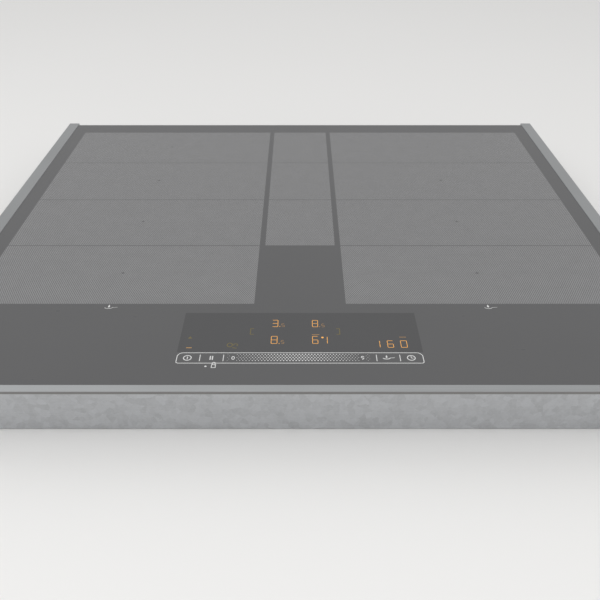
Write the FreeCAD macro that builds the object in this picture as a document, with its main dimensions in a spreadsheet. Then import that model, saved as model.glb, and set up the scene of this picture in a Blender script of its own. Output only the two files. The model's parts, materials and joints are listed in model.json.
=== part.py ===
import FreeCAD, Part
import math
import os
import Sketcher

# Built-in induction cooktop. X runs to the right, Y to the back and Z up.
# The origin is in the middle of the casing's underside.

doc = FreeCAD.newDocument("induction_cooktop")
sheet = doc.addObject("Spreadsheet::Sheet", "Sizes")

driving_sizes = {
    # Rim and glass
    "overall_width": 602.0,
    "overall_depth": 520.0,
    "installed_depth": 51.0,
    "glass_thickness": 4.0,
    "seal_thickness": 1.0,
    "seal_width": 8.0,
    "seal_inset": 3.0,
    "side_trim_width": 13.3,
    "side_trim_body": 5.0,
    "side_trim_lip": 0.6,
    "side_trim_chamfer": 1.2,
    "lip_chamfer": 0.4,
    "end_trim_width": 5.2,
    "end_trim_edge": 2.4,
    # Prints, let into the glass
    "print_thickness": 0.2,
    "zone_side_margin": 15.7,
    "zone_gap": 5.1,
    "centre_zone_width": 64.8,
    "control_depth": 100.0,
    "back_margin": 25.6,
    "row_gap": 0.8,
    "panel_width": 183.4,
    "window_depth": 50.6,
    "touch_bar_inset": 0.6,
    "touch_bar_depth": 12.7,
    "touch_bar_offset": 23.8,
    "touch_bar_radius": 2.0,
    "touch_bar_back_radius": 4.6,
    "key_width": 17.3,
    "print_line": 0.6,
    "print_clearance": 0.4,
    "separator_length": 7.5,
    # Casing
    "rim_overhang_side": 23.0,
    "rim_overhang_end": 18.0,
    "casing_sheet": 0.8,
    "casing_corner": 6.0,
    "casing_bend": 2.0,
    "rib_length": 400.0,
    "rib_width": 10.0,
    "rib_depth": 1.5,
    "rib_pitch": 80.0,
    "bead_thickness": 0.8,
    "bead_width": 5.0,
    "bead_inset": 1.5,
    "frame_sheet": 1.0,
    "frame_leg": 12.0,
    "frame_flange": 8.0,
    "screw_diameter": 4.0,
    "screw_head_diameter": 7.5,
    "screw_head_height": 1.6,
    "screw_length": 8.0,
    "screw_clearance": 0.05,
    "screw_inset": 70.0,
    "inlet_slot_width": 4.0,
    "inlet_slot_pitch": 8.0,
    "outlet_slot_width": 5.0,
    "outlet_slot_length": 16.0,
    "outlet_slot_pitch": 24.0,
    "outlet_slot_margin": 5.0,
    # Coils and what carries them
    "coil_inset": 7.0,
    "coil_gap": 6.0,
    "wire_diameter": 2.2,
    "wire_pitch": 2.8,
    "wire_clearance": 0.3,
    "mat_thickness": 3.6,
    "mat_margin": 1.0,
    "mica_thickness": 0.6,
    "ferrite_thickness": 3.0,
    "ferrite_width": 12.0,
    "ferrite_pitch": 28.0,
    "ferrite_inset": 3.0,
    "coil_plate_thickness": 1.5,
    "sensor_diameter": 8.0,
    "sensor_clearance": 1.0,
    "pad_diameter": 12.0,
    "pad_thickness": 4.0,
    "pad_inset": 30.0,
    "crossbar_width": 14.0,
    "crossbar_height": 5.0,
    "crossbar_inset": 14.0,
    # Blowers
    "blower_size": 92.0,
    "blower_height": 27.0,
    "blower_gap": 24.0,
    "blower_rear_clearance": 12.0,
    "blower_wall": 1.6,
    "blower_side": 7.0,
    "blower_inlet_lip": 8.0,
    "rotor_tip_clearance": 3.0,
    "rotor_end_clearance": 1.4,
    "rotor_disc": 1.5,
    "rotor_hub_diameter": 20.0,
    "blade_depth": 9.0,
    "blade_thickness": 1.2,
    "motor_diameter": 30.0,
    "motor_height": 6.0,
    "axle_diameter": 3.0,
    "axle_clearance": 0.05,
    # Boards
    "board_thickness": 1.6,
    "board_post_height": 5.0,
    "board_post_diameter": 8.0,
    "board_post_inset": 7.0,
    "board_side_clearance": 24.0,
    "board_centre_clearance": 14.0,
    "board_end_clearance": 12.0,
    "sink_width": 76.0,
    "sink_height": 22.0,
    "sink_base": 4.0,
    "sink_fin": 1.6,
    "sink_margin": 10.0,
    "capacitor_length": 42.0,
    "capacitor_depth": 24.0,
    "capacitor_height": 22.0,
    "capacitor_pitch": 56.0,
    "choke_diameter": 30.0,
    "choke_core": 10.0,
    "filter_clearance": 17.0,
    # Controls under the glass
    "control_margin": 1.5,
    "control_side_margin": 6.0,
    "control_back_margin": 3.0,
    "light_box_height": 8.4,
    "light_box_margin": 3.0,
    "light_box_wall": 1.5,
    "touch_spring_diameter": 5.0,
    "carrier_thickness": 2.0,
    "carrier_leg": 8.0,
    "ribbon_width": 20.0,
    "ribbon_thickness": 1.0,
    "ribbon_offset": 40.0,
    "ribbon_overlap": 6.0,
    # Mains terminals
    "terminal_corner": 15.0,
    "terminal_width": 82.0,
    "terminal_depth": 46.0,
    "terminal_height": 26.0,
    "terminal_floor": 4.0,
    "terminal_wall": 2.0,
    "terminal_fit": 0.3,
    "bezel_thickness": 1.5,
    "bezel_margin": 3.5,
    "access_width": 54.0,
    "terminal_block_width": 48.0,
    "terminal_block_depth": 14.0,
    "terminal_block_height": 15.0,
    "terminal_screw_diameter": 3.0,
    "terminal_screw_head": 5.6,
    "terminal_screw_head_height": 1.5,
    "cover_thickness": 2.0,
    "cover_clearance": 0.3,
    "cover_overlap": 1.0,
    "grip_rib_length": 26.0,
    "grip_rib_width": 1.2,
    "grip_rib_height": 0.8,
    "grip_rib_pitch": 2.6,
    "hinge_radius": 2.4,
    "hinge_pin_diameter": 2.4,
    "hinge_ear": 3.6,
    "hinge_clearance": 0.05,
    "cable_bore": 10.5,
    "bush_diameter": 14.4,
    "bush_flange": 19.0,
    "bush_flange_thickness": 2.0,
    "bush_tail": 2.0,
    # Worktop clamps
    "notch_depth": 20.0,
    "notch_length": 46.0,
    "notch_height": 9.0,
    "clamp_end_distance": 74.0,
    "clamp_width": 14.0,
    "clamp_reach": 32.0,
    "clamp_thickness": 2.0,
    "clamp_tip_clearance": 1.0,
    "clamp_screw_diameter": 5.0,
    "clamp_head_diameter": 10.0,
    "clamp_head_height": 2.6,
    "clamp_head_recess": 0.8,
    "clamp_play": 0.1,
    "clamp_nut_diameter": 9.0,
}

zone_rows = 4
centre_rows = 3
coil_turns = 10
centre_turns = 6
ferrites_per_coil = 6
ferrites_per_centre_coil = 2
blade_count = 24
fin_count = 10
inlet_slots = 7
outlet_slots = 19
floor_ribs = 3
terminal_poles = 5
grip_ribs = 3
touch_springs = 12
capacitor_rows = 3

for row, (alias, number) in enumerate(driving_sizes.items(), 1):
    sheet.set(f"A{row}", alias)
    sheet.set(f"B{row}", str(number))
    sheet.setAlias(f"B{row}", alias)
doc.recompute()


class Size:
    # A length, kept as an expression on the sheet's cells.
    def __init__(self, text):
        self.text = text

    def __add__(self, other):
        return Size(f"({self.text} + {written(other)})")

    def __radd__(self, other):
        return Size(f"({written(other)} + {self.text})")

    def __sub__(self, other):
        return Size(f"({self.text} - {written(other)})")

    def __rsub__(self, other):
        return Size(f"({written(other)} - {self.text})")

    def __mul__(self, other):
        return Size(f"({self.text} * {written(other)})")

    __rmul__ = __mul__

    def __truediv__(self, other):
        return Size(f"({self.text} / {written(other)})")

    def __neg__(self):
        return Size(f"(-{self.text})")

    @property
    def value(self):
        return float(sheet.evalExpression(self.text))


class Cells:
    def __getattr__(self, alias):
        return Size(f"Sizes.{alias}")


def written(number):
    return number.text if isinstance(number, Size) else repr(float(number))


def measure(number):
    return number.value if isinstance(number, Size) else float(number)


size = Cells()
zero = Size("0")
nodes = {}


def node(label, piece):
    piece.Label = label
    nodes[label] = piece
    return piece


# Part primitives and booleans

def block(x, y, z):
    box = doc.addObject("Part::Box", "block")
    for side, axis, (low, high) in (("Length", "x", x), ("Width", "y", y), ("Height", "z", z)):
        box.setExpression(side, written(high - low))
        box.setExpression(f"Placement.Base.{axis}", written(low))
    return box


turned_to = {
    "x": FreeCAD.Rotation(FreeCAD.Vector(0, 1, 0), 90),
    "y": FreeCAD.Rotation(FreeCAD.Vector(1, 0, 0), -90),
    "z": FreeCAD.Rotation(),
}


def rod(radius, low, high, across, axis="z"):
    # A cylinder from low to high along its axis, at the two other coordinates given by across.
    cylinder = doc.addObject("Part::Cylinder", "rod")
    cylinder.Placement = FreeCAD.Placement(FreeCAD.Vector(), turned_to[axis])
    cylinder.setExpression("Radius", written(radius))
    cylinder.setExpression("Height", written(high - low))
    cylinder.setExpression(f"Placement.Base.{axis}", written(low))
    for other, place in zip((name for name in "xyz" if name != axis), across):
        cylinder.setExpression(f"Placement.Base.{other}", written(place))
    return cylinder


def group(pieces):
    compound = doc.addObject("Part::Compound", "group")
    compound.Links = pieces
    return compound


def join(pieces):
    fusion = doc.addObject("Part::MultiFuse", "join")
    fusion.Shapes = pieces
    fusion.Refine = True
    return fusion


def cut(base, tools):
    result = doc.addObject("Part::Cut", "cut")
    result.Base = base
    result.Tool = tools[0] if len(tools) == 1 else group(tools)
    return result


def ring(x, y, z, wall):
    # A rectangular band, wall wide, inside the outline x by y.
    inner = block((x[0] + wall, x[1] - wall), (y[0] + wall, y[1] - wall), z)
    return cut(block(x, y, z), [inner])


# Sketches and the features made from them

def bind(sketch, constraint, number):
    index = sketch.addConstraint(constraint)
    sketch.setExpression(f"Constraints[{index}]", written(number))


def polygon(points):
    def draw(sketch):
        corners = [FreeCAD.Vector(measure(u), measure(v), 0) for u, v in points]
        sides = [Part.LineSegment(a, b) for a, b in zip(corners, corners[1:] + corners[:1])]
        first = sketch.addGeometry(sides, False)[0]
        for side in range(len(sides)):
            following = first + (side + 1) % len(sides)
            sketch.addConstraint(Sketcher.Constraint("Coincident", first + side, 2, following, 1))
        for side, (corner, (u, v)) in enumerate(zip(corners, points)):
            bind(sketch, Sketcher.Constraint("DistanceX", -1, 1, first + side, 1, corner.x), u)
            bind(sketch, Sketcher.Constraint("DistanceY", -1, 1, first + side, 1, corner.y), v)
    return draw


def rounded(u, v, radius, back_radius=None):
    # A rectangle with round corners. The two at the back may have a radius of their own.
    def draw(sketch):
        left, right, front, back = measure(u[0]), measure(u[1]), measure(v[0]), measure(v[1])
        r = measure(radius)
        b = r if back_radius is None else measure(back_radius)
        quarter = math.pi / 2
        centres = [(right - r, front + r), (right - b, back - b), (left + b, back - b), (left + r, front + r)]
        starts = [(left + r, front), (right, front + r), (right - b, back), (left, back - b)]
        ends = [(right - r, front), (right, back - b), (left + b, back), (left, front + r)]
        outline = []
        for corner, (start, end, centre) in enumerate(zip(starts, ends, centres)):
            outline.append(Part.LineSegment(FreeCAD.Vector(*start, 0), FreeCAD.Vector(*end, 0)))
            circle = Part.Circle(FreeCAD.Vector(*centre, 0), FreeCAD.Vector(0, 0, 1), (r, b, b, r)[corner])
            outline.append(Part.ArcOfCircle(circle, (corner - 1) * quarter, corner * quarter))
        first = sketch.addGeometry(outline, False)[0]
        count = len(outline)
        for edge in range(count):
            following = first + (edge + 1) % count
            sketch.addConstraint(Sketcher.Constraint("Tangent", first + edge, 2, following, 1))
        for side, direction in enumerate(("Horizontal", "Vertical", "Horizontal", "Vertical")):
            sketch.addConstraint(Sketcher.Constraint(direction, first + 2 * side))
        sketch.addConstraint(Sketcher.Constraint("Equal", first + 1, first + 7))
        sketch.addConstraint(Sketcher.Constraint("Equal", first + 3, first + 5))
        bind(sketch, Sketcher.Constraint("Radius", first + 1, r), radius)
        at_back = radius if back_radius is None else back_radius
        bind(sketch, Sketcher.Constraint("Radius", first + 3, b), at_back)
        places = (("DistanceY", v[0]), ("DistanceX", u[1]), ("DistanceY", v[1]), ("DistanceX", u[0]))
        for side, (direction, place) in enumerate(places):
            constraint = Sketcher.Constraint(direction, -1, 1, first + 2 * side, 1, measure(place))
            bind(sketch, constraint, place)
    return draw


def circle(radius, u=zero, v=zero):
    def draw(sketch):
        centre = FreeCAD.Vector(measure(u), measure(v), 0)
        edge = sketch.addGeometry(Part.Circle(centre, FreeCAD.Vector(0, 0, 1), measure(radius)), False)
        bind(sketch, Sketcher.Constraint("Radius", edge, measure(radius)), radius)
        bind(sketch, Sketcher.Constraint("DistanceX", -1, 1, edge, 3, centre.x), u)
        bind(sketch, Sketcher.Constraint("DistanceY", -1, 1, edge, 3, centre.y), v)
    return draw


def new_body(name):
    return doc.addObject("PartDesign::Body", name)


def sketch_on(body, plane, outlines, start):
    sketch = body.newObject("Sketcher::SketchObject", "outline")
    origin_plane = next(f for f in body.Origin.OriginFeatures if f.Role == plane)
    sketch.AttachmentSupport = [(origin_plane, "")]
    sketch.MapMode = "FlatFace"
    sketch.setExpression("AttachmentOffset.Base.z", written(start))
    for draw in outlines:
        draw(sketch)
    return sketch


def pad(body, outlines, start, length, plane="XY_Plane", symmetric=False):
    feature = body.newObject("PartDesign::Pad", "pad")
    feature.Profile = sketch_on(body, plane, outlines, start)
    feature.setExpression("Length", written(length))
    if symmetric:
        feature.SideType = "Symmetric"
    return feature


def round_underside(body, feature, radius):
    doc.recompute()
    heights = [face.CenterOfMass.z for face in feature.Shape.Faces]
    underside = f"Face{heights.index(min(heights)) + 1}"
    fillet = body.newObject("PartDesign::Fillet", "fillet")
    fillet.Base = (feature, [underside])
    fillet.setExpression("Radius", written(radius))


def pocket(body, outlines, top, depth):
    feature = body.newObject("PartDesign::Pocket", "pocket")
    feature.Profile = sketch_on(body, "XY_Plane", outlines, top)
    feature.setExpression("Length", written(depth))
    return feature


# Levels, from the casing's underside up
floor_top = size.casing_sheet
glass_under = size.installed_depth + size.seal_thickness
glass_top = glass_under + size.glass_thickness
frame_top = glass_under - size.bead_thickness
frame_under = frame_top - size.frame_sheet
mat_under = glass_under - size.mat_thickness
wire_centre = mat_under - size.wire_clearance - size.wire_diameter / 2
mica_top = wire_centre - size.wire_diameter / 2 - size.wire_clearance
ferrite_top = mica_top - size.mica_thickness
coil_plate_top = ferrite_top - size.ferrite_thickness
coil_plate_under = coil_plate_top - size.coil_plate_thickness
crossbar_top = coil_plate_under - size.pad_thickness
crossbar_under = crossbar_top - size.crossbar_height
board_under = floor_top + size.board_post_height
board_top = board_under + size.board_thickness

# Plan, from the middle out
half_width = size.overall_width / 2
half_depth = size.overall_depth / 2
glass_x = half_width - size.side_trim_body
glass_y = half_depth - size.end_trim_width
zone_outer = half_width - size.side_trim_width - size.zone_side_margin
zone_inner = size.centre_zone_width / 2 + size.zone_gap
zone_front = size.control_depth - glass_y
zone_back = glass_y - size.back_margin
row_pitch = (zone_back - zone_front) / zone_rows
casing_x = half_width - size.rim_overhang_side
casing_y = half_depth - size.rim_overhang_end
inside_x = casing_x - size.casing_sheet
inside_y = casing_y - size.casing_sheet
bar_front = size.touch_bar_offset - glass_y
bar_back = bar_front + size.touch_bar_depth
window_front = bar_back + size.print_clearance
window_back = window_front + size.window_depth
panel_x = size.panel_width / 2


def on_side(side, low, high):
    # The span low to high, counted outwards from the middle, on the negative (-1) or positive (+1) side.
    return (low, high) if side > 0 else (-high, -low)


def row_middle(row):
    return zone_front + row_pitch * (row + 0.5)


sides = (("left", -1), ("right", 1))


# Prints, let into the top of the glass

print_level = (glass_top - size.print_thickness, glass_top)


def row_prints(x, first_row):
    prints = []
    for row in range(first_row, zone_rows):
        middle = row_middle(row)
        reach = (row_pitch - size.row_gap) / 2
        prints.append(block(x, (middle - reach, middle + reach), print_level))
    return prints


def touch_bar_pieces():
    outline = new_body("bar_outline")
    line = size.print_line
    front, back = size.touch_bar_radius, size.touch_bar_back_radius
    bar_x = panel_x - size.touch_bar_inset
    outer = rounded((-bar_x, bar_x), (bar_front, bar_back), front, back)
    inner_x = (line - bar_x, bar_x - line)
    inner = rounded(inner_x, (bar_front + line, bar_back - line), front - line, back - line)
    pad(outline, [outer, inner], print_level[0], size.print_thickness)
    middle = (bar_front + bar_back) / 2
    reach = size.separator_length / 2
    pieces = [outline]
    for side in (-1, 1):
        for keys in (1, 2):
            place = side * (bar_x - size.key_width * keys)
            x = (place - line / 2, place + line / 2)
            pieces.append(block(x, (middle - reach, middle + reach), print_level))
    return pieces


def prints():
    pieces = {
        "left_zone_print": row_prints(on_side(-1, zone_inner, zone_outer), 0),
        "right_zone_print": row_prints(on_side(1, zone_inner, zone_outer), 0),
        "centre_zone_print": row_prints(
            (-size.centre_zone_width / 2, size.centre_zone_width / 2), zone_rows - centre_rows
        ),
        "display_window": [block((-panel_x, panel_x), (window_front, window_back), print_level)],
        "touch_bar_print": touch_bar_pieces(),
    }
    for label, solids in pieces.items():
        node(label, solids[0] if len(solids) == 1 else group(solids))
    return [solid for solids in pieces.values() for solid in solids]


def glass_panel():
    sheet_of_glass = block((-glass_x, glass_x), (-glass_y, glass_y), (glass_under, glass_top))
    node("glass_panel", cut(sheet_of_glass, prints()))


# Trims round the glass and the seal under it

def side_trim(label, side):
    lip_top = glass_top + size.side_trim_lip
    inner = half_width - size.side_trim_width
    section = [
        (glass_x, glass_under),
        (half_width, glass_under),
        (half_width, lip_top - size.side_trim_chamfer),
        (half_width - size.side_trim_chamfer, lip_top),
        (inner + size.lip_chamfer, lip_top),
        (inner, lip_top - size.lip_chamfer),
        (inner, glass_top),
        (glass_x, glass_top),
    ]
    trim = new_body(label)
    outline = polygon([(side * x, z) for x, z in section])
    pad(trim, [outline], zero, size.overall_depth, "XZ_Plane", symmetric=True)
    # A wedge at each end closes the lip over the bevel of the front or rear trim.
    low, high = on_side(side, inner, glass_x)
    wedge = [(glass_y, glass_top), (half_depth, glass_top), (half_depth, glass_under + size.end_trim_edge)]
    for end in (-1, 1):
        pad(trim, [polygon([(end * y, z) for y, z in wedge])], low, high - low, "YZ_Plane")
    node(label, trim)


def end_trim(label, side):
    section = [
        (glass_y, glass_under),
        (half_depth, glass_under),
        (half_depth, glass_under + size.end_trim_edge),
        (glass_y, glass_top),
    ]
    trim = new_body(label)
    outline = polygon([(side * y, z) for y, z in section])
    pad(trim, [outline], zero, glass_x * 2, "YZ_Plane", symmetric=True)
    node(label, trim)


def rim():
    for name, side in sides:
        side_trim(f"{name}_side_trim", side)
    end_trim("front_trim", -1)
    end_trim("rear_trim", 1)
    seal_x = half_width - size.side_trim_body - size.seal_inset
    seal_y = half_depth - size.end_trim_width - size.seal_inset
    seal_z = (size.installed_depth, glass_under)
    node("worktop_seal", ring((-seal_x, seal_x), (-seal_y, seal_y), seal_z, size.seal_width))


# Casing tray with its screws, and the frame that is bonded under the glass

notch_middle_x = casing_x - size.notch_depth / 2


def clamp_notch(side, station, grown):
    # The drawn-in corner that a worktop clamp folds into.
    x = on_side(side, casing_x - size.notch_depth - grown, casing_x + size.casing_sheet)
    reach = size.notch_length / 2 + grown
    return block(x, (station - reach, station + reach), (-size.casing_sheet, size.notch_height + grown))


def clamp_stations():
    station = casing_y - size.clamp_end_distance
    return [(side, end * station) for side in (-1, 1) for end in (-1, 1)]


def screw_places():
    # Axis, outward direction, the wall's outer face and the two other coordinates of each screw.
    frame_screw_z = frame_under - size.frame_leg / 2
    bar_screw_z = (crossbar_top + crossbar_under) / 2
    places = []
    for way in (-1, 1):
        for other in (-1, 1):
            places.append(("y", way, casing_y, (other * (casing_x - size.screw_inset), frame_screw_z)))
            places.append(("x", way, casing_x, (other * (casing_y - size.screw_inset), frame_screw_z)))
        for bar_y in crossbar_places():
            places.append(("x", way, casing_x, (bar_y, bar_screw_z)))
    return places


def casing_screw(axis, way, face, across):
    head = on_side(way, face, face + size.screw_head_height)
    shank = on_side(way, face - size.screw_length, face)
    return join([
        rod(size.screw_head_diameter / 2, *head, across, axis),
        rod(size.screw_diameter / 2, *shank, across, axis),
    ])


def screw_hole(axis, way, face, across):
    reach = on_side(way, face - size.screw_length - size.screw_clearance, face + size.screw_head_height)
    return rod(size.screw_diameter / 2 + size.screw_clearance, *reach, across, axis)


def slot_row(middle, y, count, width, pitch):
    through = (-floor_top, floor_top * 2)
    slots = []
    for number in range(count):
        low = middle + pitch * (number - (count - 1) / 2) - width / 2
        slots.append(block((low, low + width), y, through))
    return slots


def tray_slots():
    inlet_y = (blower_y - inlet_radius, blower_y + inlet_radius)
    outlet_front = size.outlet_slot_margin - inside_y
    outlet_y = (outlet_front, outlet_front + size.outlet_slot_length)
    slots = slot_row(zero, outlet_y, outlet_slots, size.outlet_slot_width, size.outlet_slot_pitch)
    for side in (-1, 1):
        middle = side * blower_x
        slots += slot_row(middle, inlet_y, inlet_slots, size.inlet_slot_width, size.inlet_slot_pitch)
    return slots


def floor_rib(number, grown):
    # A stiffening rib pressed up into the floor, under the boards.
    middle = (board_front + board_back) / 2 + size.rib_pitch * (number - (floor_ribs - 1) / 2)
    reach_x = size.rib_length / 2 + grown
    reach_y = size.rib_width / 2 + grown
    level = (-floor_top, size.rib_depth + grown)
    return block((-reach_x, reach_x), (middle - reach_y, middle + reach_y), level)


def pressed_in(grown):
    hollows = [clamp_notch(*station, grown) for station in clamp_stations()]
    return hollows + [floor_rib(number, grown) for number in range(floor_ribs)]


def casing_tray():
    outer = new_body("tray_outside")
    outline = rounded((-casing_x, casing_x), (-casing_y, casing_y), size.casing_corner)
    round_underside(outer, pad(outer, [outline], zero, frame_top), size.casing_bend)
    inner = new_body("tray_inside")
    inner_corner = size.casing_corner - size.casing_sheet
    inner_outline = rounded((-inside_x, inside_x), (-inside_y, inside_y), inner_corner)
    inner_bend = size.casing_bend - size.casing_sheet
    round_underside(inner, pad(inner, [inner_outline], floor_top, frame_top), inner_bend)
    shell = cut(cut(outer, pressed_in(zero)), [cut(inner, pressed_in(size.casing_sheet))])
    openings = tray_slots()
    openings += [screw_hole(*place) for place in screw_places()]
    openings += [clamp_hole(*station) for station in clamp_stations()]
    openings.append(terminal_cutout())
    node("casing_tray", cut(shell, openings))
    node("casing_screws", group([casing_screw(*place) for place in screw_places()]))


def glass_frame():
    flange_z = (frame_under, frame_top)
    leg_z = (frame_under - size.frame_leg, frame_under)
    x = (-inside_x, inside_x)
    y = (-inside_y, inside_y)
    band = join([ring(x, y, flange_z, size.frame_flange), ring(x, y, leg_z, size.frame_sheet)])
    corner_x = inside_x - size.casing_corner
    corner_y = inside_y - size.casing_corner
    corners = []
    for side in (-1, 1):
        for end in (-1, 1):
            near = on_side(side, corner_x, inside_x + size.casing_sheet)
            far = on_side(end, corner_y, inside_y + size.casing_sheet)
            corners.append(block(near, far, (leg_z[0], frame_top + size.bead_thickness)))
    holes = [screw_hole(*place) for place in screw_places()]
    node("glass_frame", cut(cut(band, corners), holes))
    bead_x = inside_x - size.bead_inset
    bead_y = inside_y - size.bead_inset
    bead_z = (frame_top, glass_under)
    node("glass_adhesive", ring((-bead_x, bead_x), (-bead_y, bead_y), bead_z, size.bead_width))


# Crossbars and the pads that the coil plates stand on

plate_front = row_middle(0) - row_pitch / 2 + size.coil_gap / 2 - size.mat_margin
plate_back = row_middle(zone_rows - 1) + row_pitch / 2 - size.coil_gap / 2 + size.mat_margin
centre_plate_front = row_middle(zone_rows - centre_rows) - row_pitch / 2 + size.coil_gap / 2 - size.mat_margin


def crossbar_places():
    return [
        plate_front + size.crossbar_inset,
        (plate_front + plate_back) / 2,
        plate_back - size.crossbar_inset,
    ]


def crossbars():
    bars = []
    pads = []
    reach = size.crossbar_width / 2
    level = (crossbar_under, crossbar_top)
    pad_places = (coil_inner + size.pad_inset, coil_outer - size.pad_inset)
    for number, bar_y in enumerate(crossbar_places()):
        bars.append(block((-inside_x, inside_x), (bar_y - reach, bar_y + reach), level))
        places = [side * x for side in (-1, 1) for x in pad_places]
        if number > 0:
            places.append(zero)
        for x in places:
            pads.append(rod(size.pad_diameter / 2, crossbar_top, coil_plate_under, (x, bar_y)))
    holes = [screw_hole(*place) for place in screw_places()]
    node("crossbars", cut(group(bars), holes))
    node("coil_plate_pads", group(pads))


# Coils: insulating mat, winding, mica, ferrites and plate, from the glass down

coil_inner = zone_inner + size.coil_inset
coil_outer = zone_outer - size.coil_inset
coil_depth = row_pitch - size.coil_gap
centre_coil_x = size.centre_zone_width / 2 - size.coil_gap / 2


def winding(length, depth, turns):
    # Half circles on two centres joined by straight runs, each half turn half a pitch wider.
    wire = size.wire_diameter.value
    pitch = size.wire_pitch.value
    last = depth / 2 - wire / 2 - pitch / 4
    run = length / 2 - wire / 2 - last
    first = last - (2 * turns - 1) * pitch / 2
    edges = []
    here = FreeCAD.Vector(run, pitch / 4 - first, 0)
    start = here
    for half in range(2 * turns):
        way = 1 if half % 2 == 0 else -1
        radius = first + half * pitch / 2
        middle_y = way * pitch / 4
        begin = FreeCAD.Vector(way * run, middle_y - way * radius, 0)
        if begin.distanceToPoint(here) > wire / 100:
            edges.append(Part.LineSegment(here, begin).toShape())
        bulge = FreeCAD.Vector(way * (run + radius), middle_y, 0)
        here = FreeCAD.Vector(way * run, middle_y + way * radius, 0)
        edges.append(Part.Arc(begin, bulge, here).toShape())
    path = Part.Wire(edges)
    section = Part.Wire(Part.Circle(start, FreeCAD.Vector(1, 0, 0), wire / 2).toShape())
    tube = path.makePipeShell([section], True, False)
    expected = math.pi * wire ** 2 / 4 * path.Length
    share = tube.Volume / expected
    print(f"winding: {turns} turns {pitch - wire:.2f} mm apart, {share:.4f} of section times length")
    return tube


def coil(shape, turn, x, y):
    piece = doc.addObject("Part::Feature", "winding")
    piece.Shape = shape
    place = FreeCAD.Vector(x.value, y.value, wire_centre.value)
    piece.Placement = FreeCAD.Placement(place, FreeCAD.Rotation(FreeCAD.Vector(0, 0, 1), turn))
    return piece


def coil_stack():
    rows = range(zone_rows)
    back_rows = range(zone_rows - centre_rows, zone_rows)
    zone_middle = (coil_inner + coil_outer) / 2
    wide = winding((coil_outer - coil_inner).value, coil_depth.value, coil_turns)
    narrow = winding(coil_depth.value, centre_coil_x.value * 2, centre_turns)
    stacks = [
        ("left", -zone_middle, on_side(-1, coil_inner, coil_outer), plate_front, rows, wide, 0),
        ("centre", zero, (-centre_coil_x, centre_coil_x), centre_plate_front, back_rows, narrow, 90),
        ("right", zone_middle, on_side(1, coil_inner, coil_outer), plate_front, rows, wide, 0),
    ]
    margin = size.mat_margin
    sensor_radius = size.sensor_diameter / 2
    hole_radius = sensor_radius + size.sensor_clearance
    mats = []
    micas = []
    sensors = []
    for name, middle, x, front, coil_rows, shape, turn in stacks:
        places = [(middle, row_middle(row)) for row in coil_rows]
        across = (x[0] - margin, x[1] + margin)
        deep = (front, plate_back)
        mat = block(across, deep, (mat_under, glass_under))
        mica = block(across, deep, (ferrite_top, mica_top))
        holes = [rod(hole_radius, coil_plate_top, glass_under, place) for place in places]
        mats.append(cut(mat, holes))
        micas.append(cut(mica, holes))
        sensors += [rod(sensor_radius, coil_plate_top, glass_under, place) for place in places]
        node(f"{name}_coil_plate", block(across, deep, (coil_plate_under, coil_plate_top)))
        node(f"{name}_coils", group([coil(shape, turn, *place) for place in places]))
        node(f"{name}_ferrites", group(ferrite_bars(name, places)))
    node("insulating_mats", group(mats))
    node("mica_sheets", group(micas))
    node("temperature_sensors", group(sensors))


def ferrite_bars(name, places):
    bars = []
    half = size.ferrite_width / 2
    reach = coil_depth / 2 - size.ferrite_inset
    count = ferrites_per_centre_coil if name == "centre" else ferrites_per_coil
    level = (coil_plate_top, ferrite_top)
    for x, y in places:
        for number in range(count):
            middle = x + size.ferrite_pitch * (number - (count - 1) / 2)
            bars.append(block((middle - half, middle + half), (y - reach, y + reach), level))
    return bars


# Blowers that draw air through the floor and push it forwards over the heat sinks

blower_x = (size.blower_gap + size.blower_size) / 2
blower_y = inside_y - size.blower_rear_clearance - size.blower_size / 2
blower_top = floor_top + size.blower_height
chamber_radius = size.blower_size / 2 - size.blower_side
rotor_radius = chamber_radius - size.rotor_tip_clearance
inlet_radius = rotor_radius - size.blower_inlet_lip
rotor_low = floor_top + size.blower_wall + size.rotor_end_clearance
motor_low = blower_top - size.blower_wall - size.motor_height
rotor_high = motor_low - size.rotor_end_clearance


def blower_housing(label, middle):
    half = size.blower_size / 2
    wall = size.blower_wall
    shell = block((middle - half, middle + half), (blower_y - half, blower_y + half), (floor_top, blower_top))
    level = (floor_top + wall, blower_top - wall)
    chamber = rod(chamber_radius, *level, (middle, blower_y))
    outlet_x = (middle - chamber_radius, middle + chamber_radius)
    outlet = block(outlet_x, (blower_y - half - wall, blower_y), level)
    inlet = rod(inlet_radius, floor_top - wall, floor_top + wall * 2, (middle, blower_y))
    hollow = cut(shell, [join([chamber, outlet, inlet])])
    motor = rod(size.motor_diameter / 2, motor_low, blower_top - wall, (middle, blower_y))
    axle = rod(size.axle_diameter / 2, rotor_low, motor_low, (middle, blower_y))
    node(label, join([hollow, motor, axle]))


def blower_rotor(label, middle):
    rotor = new_body(label)
    tip = rotor_radius
    root = tip - size.blade_depth
    disc_low = rotor_high - size.rotor_disc
    blade_height = disc_low - rotor_low
    pad(rotor, [circle(tip)], disc_low, size.rotor_disc)
    pad(rotor, [circle(size.rotor_hub_diameter / 2)], rotor_low, blade_height)
    half = size.blade_thickness / 2
    blade_outline = polygon([(root, -half), (tip - half, -half), (tip - half, half), (root, half)])
    blade = pad(rotor, [blade_outline], rotor_low, blade_height)
    polar_pattern(rotor, blade, blade_count)
    pad(rotor, [circle(tip), circle(root)], rotor_low, size.rotor_disc)
    pocket(rotor, [circle(size.axle_diameter / 2 + size.axle_clearance)], rotor_high, rotor_high - rotor_low)
    rotor.setExpression("Placement.Base.x", written(middle))
    rotor.setExpression("Placement.Base.y", written(blower_y))
    node(label, rotor)


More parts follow.
